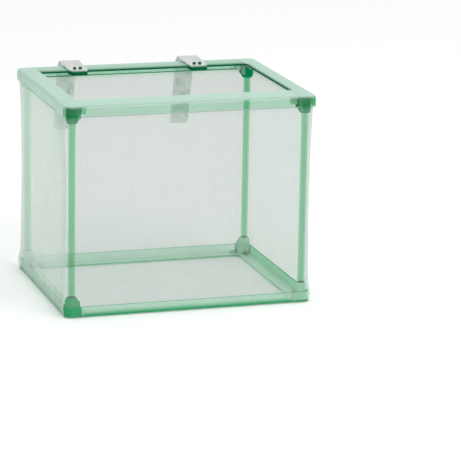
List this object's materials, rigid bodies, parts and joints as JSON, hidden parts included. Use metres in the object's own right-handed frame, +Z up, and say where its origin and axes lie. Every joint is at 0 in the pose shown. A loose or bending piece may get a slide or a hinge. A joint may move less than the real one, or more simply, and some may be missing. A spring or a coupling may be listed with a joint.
{
  "type": "fish breeding box",
  "caption": "Open-topped net breeding box for a fish tank: a translucent green angle frame with a fine net bag and steel strip hangers that hook over the tank wall.",
  "frame": {"origin": "centre of the flat face that the box stands on, at the underside of the net floor", "axes": "+X along the long side, +Y from the open middle towards the hangers and the tank wall, +Z up"},
  "size_m": [0.165, 0.1555, 0.1385],
  "materials": {
    "rail_plastic": "translucent pale green moulded plastic, satin",
    "post_plastic": "translucent green plastic rod",
    "corner_plastic": "translucent green moulded plastic, seen through more thickness",
    "net_mesh": "fine white nylon netting",
    "elastic_tape": "woven white elastic tape",
    "hanger_steel": "bare stainless steel strip, lightly brushed"
  },
  "bodies": {
    "box": {"top_rail_front": "rail_plastic", "top_rail_back": "rail_plastic", "top_rail_left": "rail_plastic", "top_rail_right": "rail_plastic", "bottom_rail_front": "rail_plastic", "bottom_rail_back": "rail_plastic", "bottom_rail_left": "rail_plastic", "bottom_rail_right": "rail_plastic", "post_front_left": "post_plastic", "post_front_right": "post_plastic", "post_back_left": "post_plastic", "post_back_right": "post_plastic", "top_corner_front_left": "corner_plastic", "top_corner_front_right": "corner_plastic", "top_corner_back_left": "corner_plastic", "top_corner_back_right": "corner_plastic", "bottom_corner_front_left": "corner_plastic", "bottom_corner_front_right": "corner_plastic", "bottom_corner_back_left": "corner_plastic", "bottom_corner_back_right": "corner_plastic", "net_front": "net_mesh", "net_back": "net_mesh", "net_left": "net_mesh", "net_right": "net_mesh", "net_floor": "net_mesh", "net_hem": "elastic_tape"},
    "left_hanger": {"hanger_left": "hanger_steel"},
    "right_hanger": {"hanger_right": "hanger_steel"}
  },
  "joints": [
    {"name": "left_hanger_lift", "type": "slide", "parent": "box", "child": "left_hanger", "axis": [0, 0, 1], "range_m": [0, 0.056]},
    {"name": "right_hanger_lift", "type": "slide", "parent": "box", "child": "right_hanger", "axis": [0, 0, 1], "range_m": [0, 0.056]}
  ]
}
